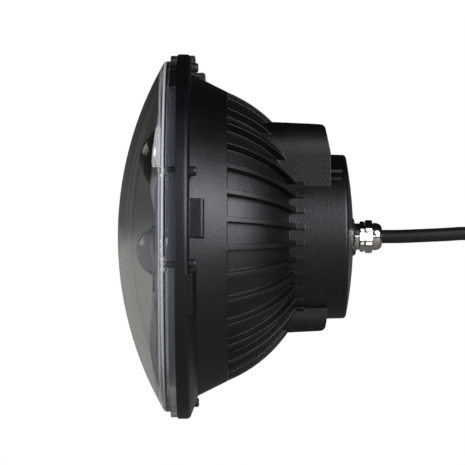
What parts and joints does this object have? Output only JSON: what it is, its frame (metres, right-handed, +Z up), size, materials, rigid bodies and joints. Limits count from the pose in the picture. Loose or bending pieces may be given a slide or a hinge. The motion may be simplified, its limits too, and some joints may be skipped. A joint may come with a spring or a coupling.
{
  "type": "round motorcycle headlight",
  "caption": "Round motorcycle headlight: clear domed lens, finned black cast housing with locating lugs, cable gland and short lead with plug.",
  "frame": {"origin": "on the optical axis, inside the rim's outer cylinder", "axes": "-X along the optical axis towards the lens, +X towards the lead, +Z up as the lamp is fitted"},
  "size_m": [0.2223, 0.178, 0.262],
  "materials": {
    "cast_housing": "fine-textured black powder coat on die-cast aluminium",
    "clear_lens": "clear hard-coated polycarbonate",
    "seal_rubber": "matt black silicone",
    "black_screws": "black oxide steel",
    "bezel": "satin dark grey moulding",
    "optic_glass": "polished optical glass",
    "black_moulding": "matt black heat-proof moulding",
    "bright_trim": "vacuum-plated bright moulding",
    "chip_yellow": "phosphor face",
    "board_white": "white solder mask on an aluminium core",
    "steel_screws": "zinc-plated steel",
    "bare_aluminium": "bare sheet",
    "lead_red": "red wire cover",
    "board_green": "green solder mask",
    "coil_copper": "lacquered copper winding",
    "capacitor_sleeve": "dark sleeve",
    "terminal_green": "moulded terminal",
    "nickel_brass": "bright nickel plate on brass",
    "lead_cover": "smooth black cable cover",
    "plug_black": "fine-grained black moulding",
    "blade_brass": "tinned brass strip"
  },
  "bodies": {
    "root": {"housing": "cast_housing", "front_lens": "clear_lens", "lens_seal": "seal_rubber", "rim_screws": "black_screws", "inner_bezel": "bezel", "low_beam_lens_left": "optic_glass", "low_beam_lens_right": "optic_glass", "low_beam_holder_left": "black_moulding", "low_beam_holder_right": "black_moulding", "trim_ring_left": "bright_trim", "trim_ring_right": "bright_trim", "high_beam_lens_left": "optic_glass", "high_beam_lens_right": "optic_glass", "high_beam_holder_left": "black_moulding", "high_beam_holder_right": "black_moulding", "day_light_reflector": "bright_trim", "light_chips": "chip_yellow", "light_board": "board_white", "board_screws": "steel_screws", "heat_spreader": "bare_aluminium", "spreader_screws": "steel_screws", "board_leads": "lead_red", "driver_board": "board_green", "driver_board_screws": "steel_screws", "driver_inductor": "coil_copper", "driver_capacitors": "capacitor_sleeve", "driver_terminal": "terminal_green", "driver_carrier": "bare_aluminium", "rear_screws": "black_screws", "gland_washer": "seal_rubber", "gland_body": "nickel_brass", "gland_seal": "seal_rubber", "gland_nut": "nickel_brass", "supply_lead": "lead_cover", "plug_housing": "plug_black", "plug_blades": "blade_brass"}
  },
  "joints": []
}
